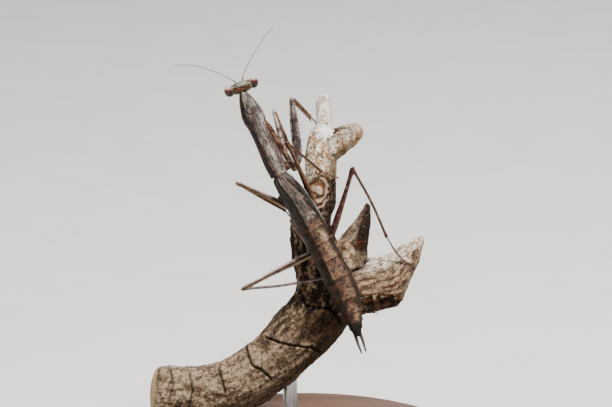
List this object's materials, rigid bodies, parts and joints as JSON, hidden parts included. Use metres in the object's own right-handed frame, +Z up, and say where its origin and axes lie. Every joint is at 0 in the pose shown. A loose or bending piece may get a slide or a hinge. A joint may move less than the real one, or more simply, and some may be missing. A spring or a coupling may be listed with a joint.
{
  "type": "praying mantis on a perch",
  "caption": "Life-size still model of a slender grey-brown praying mantis nymph gripping a cut length of dead branch on a round display stand.",
  "frame": {"origin": "centre of the display base's underside", "axes": "+Z up, the animal's back and the viewer on the -Y side, +X to the viewer's right"},
  "size_m": [0.064, 0.064, 0.0779],
  "materials": {
    "head": "satin grey-brown cuticle with dark transverse grooves",
    "eye": "glossy copper-brown compound eye, darker below",
    "membrane": "soft orange-brown joint membrane",
    "antenna": "thin brown ringed feeler",
    "thorax": "satin grey-brown cuticle, speckled dark",
    "abdomen": "satin brown plates with darker edges",
    "wing_pad": "veined grey-brown wing pad with a pale margin",
    "leg": "satin reddish-brown cuticle, banded and speckled",
    "bark": "cracked dead bark with pale lichen",
    "base_wood": "dark turned hardwood, satin",
    "rod_steel": "brushed steel rod"
  },
  "bodies": {
    "root": {"head": "head", "mouthparts": "head", "eye_left": "eye", "eye_right": "eye", "neck": "membrane", "antenna_left": "antenna", "antenna_right": "antenna", "pronotum": "thorax", "mesothorax": "thorax", "metathorax": "thorax", "abdomen_1": "abdomen", "abdomen_2": "abdomen", "abdomen_3": "abdomen", "abdomen_4": "abdomen", "abdomen_5": "abdomen", "abdomen_6": "abdomen", "abdomen_7": "abdomen", "abdomen_8": "abdomen", "abdomen_9": "abdomen", "wing_pad_fore_left": "wing_pad", "wing_pad_fore_right": "wing_pad", "wing_pad_hind_left": "wing_pad", "wing_pad_hind_right": "wing_pad", "cercus_left": "abdomen", "cercus_right": "abdomen", "fore_coxa_right": "leg", "fore_femur_right": "leg", "fore_tibia_right": "leg", "fore_tarsus_right": "leg", "fore_coxa_left": "leg", "fore_femur_left": "leg", "fore_tibia_left": "leg", "fore_tarsus_left": "leg", "mid_coxa_right": "leg", "mid_femur_right": "leg", "mid_tibia_right": "leg", "mid_tarsus_right": "leg", "mid_coxa_left": "leg", "mid_femur_left": "leg", "mid_tibia_left": "leg", "mid_tarsus_left": "leg", "hind_coxa_right": "leg", "hind_femur_right": "leg", "hind_tibia_right": "leg", "hind_tarsus_right": "leg", "hind_coxa_left": "leg", "hind_femur_left": "leg", "hind_tibia_left": "leg", "hind_tarsus_left": "leg", "perch_branch": "bark", "perch_stub": "bark", "perch_fork_right": "bark", "perch_fork_back": "bark", "perch_thorn": "bark", "stand_base": "base_wood", "stand_rod_1": "rod_steel", "stand_rod_2": "rod_steel"}
  },
  "joints": []
}
